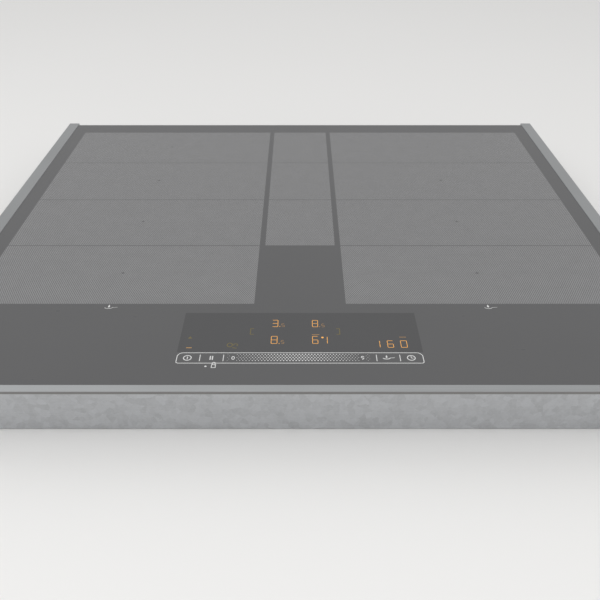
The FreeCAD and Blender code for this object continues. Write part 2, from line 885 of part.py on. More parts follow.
def polar_pattern(body, feature, count):
    pattern = body.newObject("PartDesign::PolarPattern", "pattern")
    axis = next(f for f in body.Origin.OriginFeatures if f.Role == "Z_Axis")
    pattern.Originals = [feature]
    pattern.Axis = (axis, [""])
    pattern.Angle = 360
    pattern.Occurrences = count
    body.Tip = pattern


def blowers():
    for name, side in sides:
        blower_housing(f"{name}_blower_housing", side * blower_x)
        blower_rotor(f"{name}_blower_rotor", side * blower_x)


# Power boards, heat sinks and mains filter

board_front = window_back + size.control_back_margin + size.board_end_clearance
board_back = blower_y - size.blower_size / 2 - size.board_end_clearance
board_outer = inside_x - size.board_side_clearance
board_inner = size.board_centre_clearance


def corner_posts(x, y):
    inset = size.board_post_inset
    corners = [(u, v) for u in (x[0] + inset, x[1] - inset) for v in (y[0] + inset, y[1] - inset)]
    return [rod(size.board_post_diameter / 2, floor_top, board_under, corner) for corner in corners]


def heat_sink(label, middle):
    x_low = middle - size.sink_width / 2
    y = (board_front + size.sink_margin, board_back - size.sink_margin)
    level = (board_top, board_top + size.sink_base)
    solids = [block((x_low, x_low + size.sink_width), y, level)]
    pitch = (size.sink_width - size.sink_fin) / (fin_count - 1)
    for fin in range(fin_count):
        low = x_low + pitch * fin
        solids.append(block((low, low + size.sink_fin), y, (level[1], board_top + size.sink_height)))
    node(label, join(solids))


def capacitors(middle, y_start):
    half = size.capacitor_length / 2
    x = (middle - half, middle + half)
    level = (board_top, board_top + size.capacitor_height)
    solids = []
    for number in range(capacitor_rows):
        low = y_start + size.capacitor_pitch * number
        solids.append(block(x, (low, low + size.capacitor_depth), level))
    return solids


def choke(place):
    core = rod(size.choke_diameter / 2, board_top, board_top + size.capacitor_height / 2, place)
    return cut(core, [rod(size.choke_core / 2, board_top, board_top + size.capacitor_height, place)])


def power_boards():
    posts = []
    y = (board_front, board_back)
    parts_x = (blower_x + size.sink_width / 2 + board_outer) / 2
    parts_y = board_front + size.sink_margin
    for name, side in sides:
        x = on_side(side, board_inner, board_outer)
        node(f"{name}_power_board", block(x, y, (board_under, board_top)))
        posts += corner_posts(x, y)
        heat_sink(f"{name}_heat_sink", side * blower_x)
        choke_place = (side * parts_x, board_back - size.sink_margin - size.choke_diameter / 2)
        node(f"{name}_board_parts", group(capacitors(side * parts_x, parts_y) + [choke(choke_place)]))
    filter_x = (blower_x + size.blower_size / 2 + size.filter_clearance, board_outer)
    filter_y = (blower_y - size.blower_size / 2, blower_y + size.blower_size / 2)
    node("filter_board", block(filter_x, filter_y, (board_under, board_top)))
    posts += corner_posts(filter_x, filter_y)
    filter_middle = (filter_x[0] + filter_x[1]) / 2
    spread = (size.choke_diameter + size.board_post_diameter) / 2
    chokes = [choke((filter_middle + way * spread, blower_y)) for way in (-1, 1)]
    node("filter_chokes", group(chokes))
    node("board_posts", group(posts))


# Touch and display unit under the front of the glass

control_x = panel_x + size.control_side_margin
control_front = bar_front - size.control_margin
control_back = window_back + size.control_back_margin
control_board_top = glass_under - size.light_box_height
control_board_under = control_board_top - size.board_thickness
carrier_under = control_board_under - size.carrier_thickness


def control_unit():
    x = (-control_x, control_x)
    y = (control_front, control_back)
    node("control_board", block(x, y, (control_board_under, control_board_top)))
    leg = size.carrier_leg
    solids = [block(x, y, (carrier_under, control_board_under))]
    leg_front = -inside_y + size.outlet_slot_margin * 2 + size.outlet_slot_length
    for side in (-1, 1):
        leg_x = on_side(side, control_x - leg, control_x)
        for low in (leg_front, control_back - leg):
            solids.append(block(leg_x, (low, low + leg), (floor_top, carrier_under)))
    node("control_carrier", join(solids))
    margin = size.light_box_margin
    level = (control_board_top, glass_under)
    box_x = (margin - panel_x, panel_x - margin)
    box_y = (window_front + margin, window_back - margin)
    node("display_light_box", ring(box_x, box_y, level, size.light_box_wall))
    pitch = (size.panel_width - size.touch_bar_depth) / (touch_springs - 1)
    spring_y = (bar_front + bar_back) / 2
    springs = []
    for number in range(touch_springs):
        spring_x = pitch * (number - (touch_springs - 1) / 2)
        springs.append(rod(size.touch_spring_diameter / 2, *level, (spring_x, spring_y)))
    node("touch_contacts", group(springs))


def control_ribbon():
    thick = size.ribbon_thickness
    lap = size.ribbon_overlap
    drop = (control_back + board_front) / 2
    section = [
        (control_back - lap / 3, control_board_top),
        (control_back - lap / 3, control_board_top + thick),
        (drop + thick, control_board_top + thick),
        (drop + thick, board_top + thick),
        (board_front + lap, board_top + thick),
        (board_front + lap, board_top),
        (drop, board_top),
        (drop, control_board_top),
    ]
    ribbon = new_body("control_ribbon")
    pad(ribbon, [polygon(section)], -size.ribbon_offset, size.ribbon_width, "YZ_Plane")
    node("control_ribbon", ribbon)


# Mains terminals behind a hinged cover in the rear wall

terminal_left = size.terminal_corner - inside_x
terminal_right = terminal_left + size.terminal_width
terminal_low = size.terminal_floor
terminal_high = terminal_low + size.terminal_height
bezel_back = casing_y + size.bezel_thickness
access_left = terminal_left + size.terminal_wall + size.terminal_fit
access_right = access_left + size.access_width
access_low = terminal_low + size.terminal_wall + size.terminal_fit
access_high = terminal_high - size.terminal_wall - size.terminal_fit
hinge_y = bezel_back + size.cover_clearance + size.hinge_radius
hinge_z = access_low - size.cover_overlap - size.hinge_radius / 2
bush_x = (access_right + terminal_right - size.terminal_wall) / 2
bush_z = (terminal_low + terminal_high) / 2


def terminal_cutout():
    y = (inside_y - size.casing_sheet, casing_y + size.casing_sheet)
    return block((terminal_left, terminal_right), y, (terminal_low, terminal_high))


def hinge_pin_hole():
    ear = size.hinge_ear + size.hinge_clearance
    cover_left = access_left - size.cover_overlap
    cover_right = access_right + size.cover_overlap
    radius = size.hinge_pin_diameter / 2 + size.hinge_clearance
    return rod(radius, cover_left - ear * 2, cover_right + ear * 2, (hinge_y, hinge_z), "x")


def terminal_box():
    fit = size.terminal_fit
    wall = size.terminal_wall
    front = casing_y - size.terminal_depth
    x = (terminal_left + fit, terminal_right - fit)
    z = (terminal_low + fit, terminal_high - fit)
    margin = size.bezel_margin
    bezel_x = (terminal_left - margin, terminal_right + margin)
    bezel_z = (terminal_low - margin, terminal_high + margin)
    ear_y = (bezel_back, hinge_y + size.hinge_radius)
    ear_z = (hinge_z - size.hinge_radius, hinge_z + size.hinge_radius)
    gap = size.cover_overlap + size.cover_clearance
    left_ear = (access_left - gap - size.hinge_ear, access_left - gap)
    right_ear = (access_right + gap, access_right + gap + size.hinge_ear)
    moulding = join([
        block(x, (front, casing_y), z),
        block(bezel_x, (casing_y, bezel_back), bezel_z),
        block(left_ear, ear_y, ear_z),
        block(right_ear, ear_y, ear_z),
    ])
    cavity_x = (x[0] + wall, x[1] - wall)
    cavity_z = (access_low, access_high)
    bush_radius = size.bush_diameter / 2 + size.screw_clearance
    hollow = join([
        block(cavity_x, (front + wall, casing_y - wall), cavity_z),
        block((access_left, access_right), (front + wall, bezel_back + wall), cavity_z),
        rod(bush_radius, casing_y - wall * 2, bezel_back + wall, (bush_x, bush_z), "y"),
    ])
    node("terminal_box", cut(moulding, [hollow, hinge_pin_hole()]))


def terminal_block():
    low_y = casing_y - size.terminal_depth + size.terminal_wall
    face = low_y + size.terminal_block_depth
    left = access_left + size.terminal_wall
    z = (access_low, access_low + size.terminal_block_height)
    middle_z = (z[0] + z[1]) / 2
    pitch = size.terminal_block_width / terminal_poles
    body = block((left, left + size.terminal_block_width), (low_y, face), z)
    shank = size.terminal_screw_diameter / 2
    reach = size.terminal_block_depth / 2
    holes = []
    screws = []
    for pole in range(terminal_poles):
        place = (left + pitch * (pole + 0.5), middle_z)
        holes.append(rod(shank + size.screw_clearance, face - reach, face + reach, place, "y"))
        head = rod(size.terminal_screw_head / 2, face, face + size.terminal_screw_head_height, place, "y")
        screws.append(join([head, rod(shank, face - reach, face, place, "y")]))
    node("terminal_block", cut(body, holes))
    node("terminal_screws", group(screws))


def terminal_cover():
    overlap = size.cover_overlap
    x = (access_left - overlap, access_right + overlap)
    low_y = bezel_back + size.cover_clearance
    face = low_y + size.cover_thickness
    top = access_high + overlap
    plate = block(x, (low_y, face), (hinge_z, top))
    knuckle = rod(size.hinge_radius, *x, (hinge_y, hinge_z), "x")
    middle = (x[0] + x[1]) / 2
    grip_x = (middle - size.grip_rib_length / 2, middle + size.grip_rib_length / 2)
    grip_y = (face - size.grip_rib_height, face + size.grip_rib_height)
    ribs = []
    for place in range(1, grip_ribs + 1):
        level = top - size.grip_rib_pitch * place
        ribs.append(block(grip_x, grip_y, (level, level + size.grip_rib_width)))
    node("terminal_cover", cut(join([plate, knuckle, *ribs]), [hinge_pin_hole()]))
    ear = size.cover_clearance + size.hinge_ear
    pin = rod(size.hinge_pin_diameter / 2, x[0] - ear, x[1] + ear, (hinge_y, hinge_z), "x")
    node("cover_hinge_pin", pin)


def cable_bush():
    tail = casing_y - size.terminal_wall - size.bush_tail
    back = bezel_back + size.bush_flange_thickness
    body = rod(size.bush_diameter / 2, tail, bezel_back, (bush_x, bush_z), "y")
    flange = rod(size.bush_flange / 2, bezel_back, back, (bush_x, bush_z), "y")
    bore = rod(size.cable_bore / 2, tail - size.bush_tail, back + size.bush_tail, (bush_x, bush_z), "y")
    node("cable_bush", cut(join([body, flange]), [bore]))


# Worktop clamps that swing out from the notches

clamp_low = size.clamp_head_recess + size.clamp_head_height + size.clamp_play
clamp_high = clamp_low + size.clamp_thickness
clamp_pivot_inset = (size.notch_length - size.clamp_reach - size.clamp_width / 2) / 2 + size.clamp_width / 2


def clamp_pivot(side, station):
    return side * notch_middle_x, station - size.notch_length / 2 + clamp_pivot_inset


def clamp_hole(side, station):
    radius = size.clamp_screw_diameter / 2 + size.screw_clearance
    roof = (size.notch_height - floor_top, size.notch_height + floor_top * 2)
    return rod(radius, *roof, clamp_pivot(side, station))


def clamps():
    screws = []
    nuts = []
    shank = size.clamp_screw_diameter / 2
    for side, station in clamp_stations():
        x, y = clamp_pivot(side, station)
        half = size.clamp_width / 2
        tip_y = y + size.clamp_reach
        tip_top = size.notch_height - size.clamp_tip_clearance
        arm = block((x - half, x + half), (y, tip_y), (clamp_low, clamp_high))
        tip = block((x - half, x + half), (tip_y - size.clamp_thickness, tip_y), (clamp_low, tip_top))
        eye = rod(half, clamp_low, clamp_high, (x, y))
        hole = rod(shank + size.screw_clearance, clamp_low - floor_top, clamp_high + floor_top, (x, y))
        end = "rear" if station.value > 0 else "front"
        name = "left" if side < 0 else "right"
        node(f"{end}_{name}_clamp", cut(join([arm, tip, eye]), [hole]))
        head_top = size.clamp_head_recess + size.clamp_head_height
        head = rod(size.clamp_head_diameter / 2, size.clamp_head_recess, head_top, (x, y))
        screws.append(join([head, rod(shank, head_top, size.notch_height + floor_top * 2, (x, y))]))
        nut = rod(size.clamp_nut_diameter / 2, clamp_high + size.clamp_play, size.notch_height, (x, y))
        bore = rod(shank + size.screw_clearance, clamp_low, size.notch_height + floor_top, (x, y))
        nuts.append(cut(nut, [bore]))
    node("clamp_screws", group(screws))
    node("clamp_nuts", group(nuts))


glass_panel()
rim()
casing_tray()
glass_frame()
crossbars()
coil_stack()
blowers()
power_boards()
control_unit()
control_ribbon()
terminal_box()
terminal_block()
terminal_cover()
cable_bush()
clamps()
doc.recompute()

failed = [piece.Label for piece in doc.Objects if {"Invalid", "Error"} & set(piece.State)]
failed += [label for label, piece in nodes.items() if piece.Shape.isNull() or not piece.Shape.isValid()]
if failed:
    raise SystemExit(f"not built: {failed}")

os.makedirs("parts", exist_ok=True)
for label, piece in nodes.items():
    piece.Shape.exportStep(f"parts/{label}.step")
print(f"{len(nodes)} nodes written")
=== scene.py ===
import json
import math

import bmesh
import bpy
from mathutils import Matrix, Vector


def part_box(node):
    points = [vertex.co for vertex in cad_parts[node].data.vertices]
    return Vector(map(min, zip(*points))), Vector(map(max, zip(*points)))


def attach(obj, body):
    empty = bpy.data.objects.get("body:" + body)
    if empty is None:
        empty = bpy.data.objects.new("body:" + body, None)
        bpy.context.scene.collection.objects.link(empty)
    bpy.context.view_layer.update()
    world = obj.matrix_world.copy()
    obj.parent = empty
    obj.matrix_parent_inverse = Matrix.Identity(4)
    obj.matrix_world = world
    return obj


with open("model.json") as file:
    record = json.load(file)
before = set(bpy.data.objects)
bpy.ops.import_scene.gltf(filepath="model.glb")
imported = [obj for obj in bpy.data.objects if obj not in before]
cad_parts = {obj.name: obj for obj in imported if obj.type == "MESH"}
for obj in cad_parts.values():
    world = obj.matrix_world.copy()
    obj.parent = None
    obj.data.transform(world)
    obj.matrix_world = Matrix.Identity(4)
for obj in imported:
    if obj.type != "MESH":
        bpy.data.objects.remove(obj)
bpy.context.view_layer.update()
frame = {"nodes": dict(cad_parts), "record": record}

scene = bpy.context.scene
mm = 0.001
print("frame loaded,", len(frame["nodes"]), "nodes")


class Wire:
    # an output socket, so that shader maths reads as plain expressions
    def __init__(self, tree, socket=None):
        self.tree = tree
        self.socket = socket

    # any node: its type, its settings, then the values or links of its sockets
    def node(self, kind, settings=None, inputs=None, output=0):
        made = self.tree.nodes.new(kind)
        for key, value in (settings or {}).items():
            setattr(made, key, value)
        for key, value in (inputs or {}).items():
            if isinstance(value, Wire):
                self.tree.links.new(value.socket, made.inputs[key])
            else:
                made.inputs[key].default_value = value
        return Wire(self.tree, made.outputs[output])

    def maths(self, operation, first, second):
        return self.node("ShaderNodeMath", {"operation": operation}, {0: first, 1: second})

    def __add__(self, other):
        return self.maths("ADD", self, other)

    def __radd__(self, other):
        return self.maths("ADD", other, self)

    def __sub__(self, other):
        return self.maths("SUBTRACT", self, other)

    def __rsub__(self, other):
        return self.maths("SUBTRACT", other, self)

    def __mul__(self, other):
        return self.maths("MULTIPLY", self, other)

    def __rmul__(self, other):
        return self.maths("MULTIPLY", other, self)

    def least(self, other):
        return self.maths("MINIMUM", self, other)

    def most(self, other):
        return self.maths("MAXIMUM", self, other)

    def rise(self, low, high):  # 0 below low, 1 above high
        spread = {"Value": self, "From Min": low, "From Max": high}
        return self.node("ShaderNodeMapRange", {"interpolation_type": "SMOOTHSTEP"}, spread)

    def vector(self, operation, *values, output=0):
        return self.node("ShaderNodeVectorMath", {"operation": operation}, dict(enumerate(values)), output)

    def place(self):  # metres, in the part's own frame
        return self.node("ShaderNodeTexCoord", output=3)

    def stretched(self, factors):
        return self.vector("MULTIPLY", self.place(), factors)

    def noise(self, place, scale, detail=3.0):
        return self.node("ShaderNodeTexNoise", {}, {"Vector": place, "Scale": scale, "Detail": detail})

    def cells(self, place, scale):  # one even tone for each cell
        tone = self.node("ShaderNodeTexVoronoi", {}, {"Vector": place, "Scale": scale}, 1)
        return self.node("ShaderNodeSeparateColor", {}, {"Color": tone})

    def blend(self, mask, first, second):
        colours = {0: mask}
        for key, colour in ((6, first), (7, second)):
            colours[key] = colour if isinstance(colour, Wire) else (*colour, 1.0)
        return self.node("ShaderNodeMix", {"data_type": "RGBA"}, colours, 2)

    def bump(self, height, distance, strength):
        return self.node("ShaderNodeBump", {}, {"Strength": strength, "Distance": distance, "Height": height})

    # round dots in a staggered lattice: two plain lattices, half a step apart
    def dots(self, place, pitch, radius, edge):
        step = (pitch, pitch * 3 ** 0.5, 0.0)
        near = None
        for start in (0.0, 0.5):
            cell = self.vector("MULTIPLY_ADD", place, (1 / step[0], 1 / step[1], 0.0), (start, start, 0.0))
            cell = self.vector("SUBTRACT", self.vector("FRACTION", cell), (0.5, 0.5, 0.0))
            away = self.vector("LENGTH", self.vector("MULTIPLY", cell, step), output=1)
            near = away if near is None else near.least(away)
        return 1 - near.rise(radius - edge / 2, radius + edge / 2)


def makeFinish(name, build):
    material = bpy.data.materials.new(name)
    material.use_nodes = True
    shader = next(n for n in material.node_tree.nodes if n.type == "BSDF_PRINCIPLED")
    for key, value in build(Wire(material.node_tree)).items():
        if isinstance(value, Wire):
            material.node_tree.links.new(value.socket, shader.inputs[key])
        else:
            shader.inputs[key].default_value = value
    return material


def shade(colour, factor):
    return tuple(min(1.0, part * factor) for part in colour)


# Glass and the prints on it

glassLook = {"colour": (0.106, 0.106, 0.108), "roughness": 0.26, "specular": 0.22}


def glassCeramic(wire):
    place = wire.place()
    cloud = wire.noise(place, 9.0, 2.0)
    smear = wire.noise(wire.stretched((40.0, 160.0, 1.0)), 1.0, 4.0)  # faint marks of wiping
    return {
        "Base Color": wire.blend(cloud, shade(glassLook["colour"], 0.96), shade(glassLook["colour"], 1.04)),
        "Roughness": glassLook["roughness"] + 0.05 * smear,
        "Specular IOR Level": glassLook["specular"],
    }


zoneLook = {
    "rows": 4,
    "seam": 0.8 * mm,
    "dotLines": 62,  # in each row
    "radius": 0.715 * mm,
    "edge": 0.3 * mm,
    "ink": (0.266, 0.266, 0.269),
}
zoneLow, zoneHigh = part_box("left_zone_print")
zoneFront = zoneLow.y - zoneLook["seam"] / 2
rowPitch = (zoneHigh.y - zoneLow.y + zoneLook["seam"]) / zoneLook["rows"]


def zonePrint(wire):
    # counted from the front edge, so that each seam drops a line of dots
    place = wire.vector("SUBTRACT", wire.place(), (0.0, zoneFront, 0.0))
    pitch = rowPitch / zoneLook["dotLines"] * 2 / 3 ** 0.5
    dots = wire.dots(place, pitch, zoneLook["radius"], zoneLook["edge"])
    density = wire.noise(place, 70.0)  # the ink isn't equally thick everywhere
    ink = wire.blend(density, shade(zoneLook["ink"], 0.92), shade(zoneLook["ink"], 1.08))
    return {
        "Base Color": wire.blend(dots, glassLook["colour"], ink),
        "Roughness": glassLook["roughness"] + 0.18 * dots,
        "Specular IOR Level": glassLook["specular"],
        "Normal": wire.bump(dots, 0.00002, 0.3),
    }


windowLook = {"colour": (0.082, 0.082, 0.084), "pitch": 0.9 * mm, "radius": 0.2 * mm, "edge": 0.1 * mm}


def displayTint(wire):
    place = wire.place()
    cloud = wire.noise(place, 14.0, 2.0)
    mesh = wire.dots(place, windowLook["pitch"], windowLook["radius"], windowLook["edge"])  # fine screen
    tint = wire.blend(cloud, shade(windowLook["colour"], 0.95), shade(windowLook["colour"], 1.05))
    return {
        "Base Color": wire.blend(0.35 * mesh, tint, shade(windowLook["colour"], 0.7)),
        "Roughness": glassLook["roughness"] + 0.08 * cloud,
        "Specular IOR Level": glassLook["specular"],
    }


def enamelPrint(colour):
    def build(wire):
        place = wire.place()
        grain = wire.noise(place, 2200.0, 2.0)
        return {
            "Base Color": wire.blend(grain, shade(colour, 0.9), shade(colour, 1.06)),
            "Roughness": 0.36 + 0.12 * grain,
            "Normal": wire.bump(grain, 0.00001, 0.2),
        }
    return build


lightLook = {
    # colour of the light, colour when out, strength
    "amber_light": ((0.95, 0.43, 0.08), (0.08, 0.05, 0.02), 1.1),
    "half_light": ((0.37, 0.20, 0.06), (0.07, 0.05, 0.03), 1.0),
    "dim_light": ((0.075, 0.058, 0.014), (0.07, 0.06, 0.03), 1.0),
}


def litSegment(colour, whenOut, strength):
    def build(wire):
        glow = wire.noise(wire.place(), 420.0, 2.0)  # the light source behind is a little uneven
        return {
            "Base Color": (*whenOut, 1.0),
            "Roughness": 0.4,
            "Emission Color": wire.blend(glow, shade(colour, 0.82), shade(colour, 1.1)),
            "Emission Strength": strength,
        }
    return build


# Metals

trimLook = {
    "colour": (0.40, 0.41, 0.416),
    "roughness": 0.36,
    "paintedShadeColour": (0.17, 0.166, 0.162),
    "paintedShadeBelow": 54.3 * mm,  # below it the front and rear profiles get painted shade: a dark, non-metal colour stands in for the shadow under the bevel
}


def brushedMetal(colour, along, roughness, marks=1.0, paintedShadeBelow=None):
    across = {"x": (5.0, 2400.0, 2400.0), "y": (2400.0, 5.0, 2400.0)}[along]

    def build(wire):
        lines = wire.noise(wire.stretched(across), 1.0, 4.0)
        tone = wire.noise(wire.place(), 16.0, 2.0)
        mix = 0.65 * lines + 0.35 * tone
        bright = wire.blend(mix, shade(colour, 1 - 0.18 * marks), shade(colour, 1 + 0.18 * marks))
        metallic = 1.0
        # painted shade: under the given height the profile turns dark and non-metal, in place of the shadow
        # below its bevel
        if paintedShadeBelow:
            height = wire.node("ShaderNodeSeparateXYZ", {}, {0: wire.place()}, 2)
            metallic = height.rise(paintedShadeBelow - 0.1 * mm, paintedShadeBelow + 0.1 * mm)
            bright = wire.blend(metallic, trimLook["paintedShadeColour"], bright)
        return {
            "Base Color": bright,
            "Metallic": metallic,
            "Roughness": roughness + 0.16 * marks * (lines - 0.5),
            "Normal": wire.bump(lines, 0.00002, 0.3 * marks),
        }
    return build


zincLook = {"colour": (0.52, 0.53, 0.545), "spangle": 190.0, "finer": 3.7, "ragged": 900.0, "bend": 1.6 * mm}


def zincSheet(wire):
    place = wire.place()
    rough = {"Vector": place, "Scale": zincLook["ragged"], "Detail": 4.0}
    ragged = wire.node("ShaderNodeTexNoise", {}, rough, 1)  # the flakes' edges aren't straight
    bent = wire.vector("MULTIPLY_ADD", ragged, (zincLook["bend"],) * 3, place)
    flake = wire.cells(bent, zincLook["spangle"])
    fine = wire.cells(bent, zincLook["finer"] * zincLook["spangle"])
    rolled = wire.noise(wire.stretched((8.0, 900.0, 900.0)), 1.0)
    mix = 0.5 * flake + 0.25 * fine + 0.25 * rolled
    return {
        "Base Color": wire.blend(mix, shade(zincLook["colour"], 0.82), shade(zincLook["colour"], 1.16)),
        "Metallic": 1.0,
        "Roughness": 0.30 + 0.16 * flake + 0.08 * fine,
        "Normal": wire.bump(0.6 * fine + 0.4 * rolled, 0.00002, 0.3),
    }


def platedSteel(wire):
    place = wire.place()
    tone = wire.noise(place, 380.0)
    speck = wire.cells(place, 1500.0)
    return {
        "Base Color": wire.blend(tone, (0.50, 0.51, 0.54), (0.68, 0.69, 0.70)),
        "Metallic": 1.0,
        "Roughness": 0.24 + 0.16 * speck,
        "Normal": wire.bump(tone, 0.00002, 0.25),
    }


def turnedBrass(wire):
    rings = wire.noise(wire.stretched((300.0, 300.0, 4000.0)), 1.0)
    return {
        "Base Color": wire.blend(rings, (0.50, 0.36, 0.13), (0.70, 0.53, 0.22)),
        "Metallic": 1.0,
        "Roughness": 0.22 + 0.18 * rings,
        "Normal": wire.bump(rings, 0.00002, 0.3),
    }


def springWire(wire):
    coils = wire.node("ShaderNodeTexWave", {"bands_direction": "Z"}, {
        "Vector": wire.place(), "Scale": 160.0, "Distortion": 0.4}, 1)
    return {
        "Base Color": wire.blend(coils, (0.16, 0.16, 0.17), (0.68, 0.68, 0.69)),
        "Metallic": 1.0,
        "Roughness": 0.45 - 0.2 * coils,
        "Normal": wire.bump(coils, 0.0002, 0.8),
    }


def strandedCopper(wire):
    place = wire.place()
    strands = wire.node("ShaderNodeTexWave", {"bands_direction": "DIAGONAL"}, {
        "Vector": place, "Scale": 420.0, "Distortion": 1.2, "Detail": 2.0}, 1)
    tone = wire.noise(place, 90.0)
    warm = wire.blend(tone, (0.46, 0.17, 0.06), (0.64, 0.29, 0.12))
    return {
        "Base Color": wire.blend(0.55 * strands, warm, (0.22, 0.08, 0.03)),
        "Metallic": 0.85,
        "Roughness": 0.3 + 0.2 * strands,
        "Normal": wire.bump(strands, 0.0001, 0.6),
    }


# Plastics, rubber, boards and the mats

def mouldedPlastic(colour, roughness, grain=2600.0):
    def build(wire):
        place = wire.place()
        skin = wire.noise(place, grain, 2.0)  # eroded tool surface
        flow = wire.noise(place, 22.0)
        return {
            "Base Color": wire.blend(0.5 * skin + 0.5 * flow, shade(colour, 0.82), shade(colour, 1.16)),
            "Roughness": roughness + 0.14 * (skin - 0.5),
            "Normal": wire.bump(skin, 0.00003, 0.35),
        }
    return build


def cellFoam(wire):
    place = wire.place()
    pores = wire.node("ShaderNodeTexVoronoi", {}, {"Vector": place, "Scale": 1300.0})
    tone = wire.noise(place, 240.0)
    return {
        "Base Color": wire.blend(tone, (0.028, 0.028, 0.03), (0.062, 0.062, 0.064)),
        "Roughness": 0.84 + 0.12 * tone,
        "Normal": wire.bump(pores, 0.0002, 0.7),
    }


def siliconeRubber(wire):
    place = wire.place()
    waves = wire.noise(place, 120.0)
    return {
        "Base Color": wire.blend(waves, (0.016, 0.016, 0.017), (0.03, 0.03, 0.031)),
        "Roughness": 0.3 + 0.2 * waves,
        "Normal": wire.bump(waves, 0.0003, 0.4),
    }


def sinteredFerrite(wire):
    place = wire.place()
    grain = wire.cells(place, 2400.0)
    return {
        "Base Color": wire.blend(grain, (0.03, 0.03, 0.032), (0.075, 0.074, 0.074)),
        "Roughness": 0.55 + 0.25 * grain,
        "Normal": wire.bump(grain, 0.00003, 0.3),
    }


def fibreFelt(wire):
    long = wire.noise(wire.stretched((160.0, 1500.0, 900.0)), 1.0, 4.0)
    cross = wire.noise(wire.stretched((1500.0, 190.0, 900.0)), 1.0, 4.0)
    fibres = long.most(cross)
    return {
        "Base Color": wire.blend(fibres.rise(0.35, 0.75), (0.56, 0.54, 0.48), (0.84, 0.83, 0.78)),
        "Roughness": 0.88 + 0.08 * fibres,
        "Normal": wire.bump(fibres, 0.0004, 0.6),
    }


def pressedMica(wire):
    place = wire.place()
    flake = wire.cells(wire.stretched((1.0, 1.7, 1.0)), 240.0)
    cloud = wire.noise(place, 40.0)
    return {
        "Base Color": wire.blend(0.6 * flake + 0.4 * cloud, (0.36, 0.27, 0.14), (0.66, 0.58, 0.42)),
        "Roughness": 0.3 + 0.25 * flake,
        "Normal": wire.bump(flake, 0.00005, 0.3),
    }


boardLook = {"lacquer": (0.022, 0.115, 0.04), "track": (0.045, 0.20, 0.075), "tin": (0.58, 0.58, 0.56)}


def boardLacquer(wire):
    place = wire.place()
    tracks = wire.node("ShaderNodeTexBrick", {"offset": 0.37, "squash": 1.6, "squash_frequency": 3}, {
        "Vector": place, "Scale": 70.0, "Mortar Size": 0.035, "Mortar Smooth": 0.1}, 1)
    pads = wire.dots(place, 5.08 * mm, 0.75 * mm, 0.1 * mm)
    green = wire.blend(tracks, boardLook["lacquer"], boardLook["track"])
    return {
        "Base Color": wire.blend(pads, green, boardLook["tin"]),
        "Metallic": 0.9 * pads,
        "Roughness": 0.42 - 0.12 * pads,
        "Normal": wire.bump(tracks.most(pads), 0.00005, 0.5),
    }


def flatCable(wire):
    cores = wire.node("ShaderNodeTexWave", {"bands_direction": "X", "wave_profile": "SIN"}, {
        "Vector": wire.place(), "Scale": 250.0}, 1)
    return {
        "Base Color": wire.blend(cores, (0.30, 0.31, 0.33), (0.62, 0.63, 0.65)),
        "Roughness": 0.5 - 0.1 * cores,
        "Normal": wire.bump(cores, 0.0002, 0.7),
    }


builders = {
    "glass_ceramic": glassCeramic,
    "zone_print": zonePrint,
    "display_tint": displayTint,
    "white_print": enamelPrint((0.68, 0.68, 0.675)),
    "trim_metal": brushedMetal(trimLook["colour"], "y", trimLook["roughness"]),
    # front and rear trims: brushed metal with painted shade on their lower edge
    "cross_trim_painted_shade": brushedMetal(trimLook["colour"], "x", trimLook["roughness"], 1.0, trimLook["paintedShadeBelow"]),
    "seal_foam": cellFoam,
    "silicone": siliconeRubber,
    "sheet_steel": zincSheet,
    "fastener_steel": platedSteel,
    "clamp_steel": brushedMetal((0.50, 0.505, 0.515), "y", 0.38),
    "bare_aluminium": brushedMetal((0.62, 0.63, 0.64), "x", 0.42, 0.7),
    "litz_copper": strandedCopper,
    "ferrite": sinteredFerrite,
    "fibre_mat": fibreFelt,
    "mica": pressedMica,
    "white_plastic": mouldedPlastic((0.74, 0.74, 0.72), 0.5),
    "black_plastic": mouldedPlastic((0.034, 0.034, 0.036), 0.52),
    "rotor_plastic": mouldedPlastic((0.06, 0.06, 0.065), 0.48, 1400.0),
    "cover_plastic": mouldedPlastic((0.048, 0.048, 0.05), 0.46),
    "bush_plastic": mouldedPlastic((0.09, 0.09, 0.09), 0.56, 1800.0),
    "circuit_board": boardLacquer,
    "component_plastic": mouldedPlastic((0.05, 0.09, 0.26), 0.32, 900.0),
    "spring_steel": springWire,
    "brass_screw": turnedBrass,
    "ribbon": flatCable,
    "row_mark": enamelPrint((0.075, 0.075, 0.077)),
}
builders.update({name: litSegment(*look) for name, look in lightLook.items()})
finishes = {name: makeFinish(name, build) for name, build in builders.items()}

for row in frame["record"]["subparts"]:
    node = frame["nodes"][row["node"]]
    chosen = "cross_trim_painted_shade" if row["node"] in ("front_trim", "rear_trim") else row["material_slot"]
    if not node.data.materials:
        node.data.materials.append(None)
    for held in node.material_slots:
        held.material = finishes[chosen]
print("finishes made:", len(finishes))


# Mesh tools. Outlines are in millimetres, seen from above.

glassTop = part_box("glass_panel")[1].z / mm


def makePiece(name, bm, finish, body="cooktop"):
    bmesh.ops.recalc_face_normals(bm, faces=bm.faces)
    mesh = bpy.data.meshes.new(name)
    bm.to_mesh(mesh)
    bm.free()
    mesh.materials.append(finishes[finish])
    piece = bpy.data.objects.new(name, mesh)
    scene.collection.objects.link(piece)
    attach(piece, body)
    print("piece", name, len(mesh.polygons), "faces")
    return piece


inkLook = {"under": 0.02, "over": 0.03}  # ink is let in a little and stands a little proud


def inkShape(bm, outline):
    low, high = glassTop - inkLook["under"], glassTop + inkLook["over"]
    rings = [[bm.verts.new((x * mm, y * mm, z * mm)) for x, y in outline] for z in (low, high)]
    bm.faces.new(rings[1])
    bm.faces.new(rings[0][::-1])
    for here in range(len(outline)):
        there = (here + 1) % len(outline)
        bm.faces.new((rings[0][here], rings[0][there], rings[1][there], rings[1][here]))


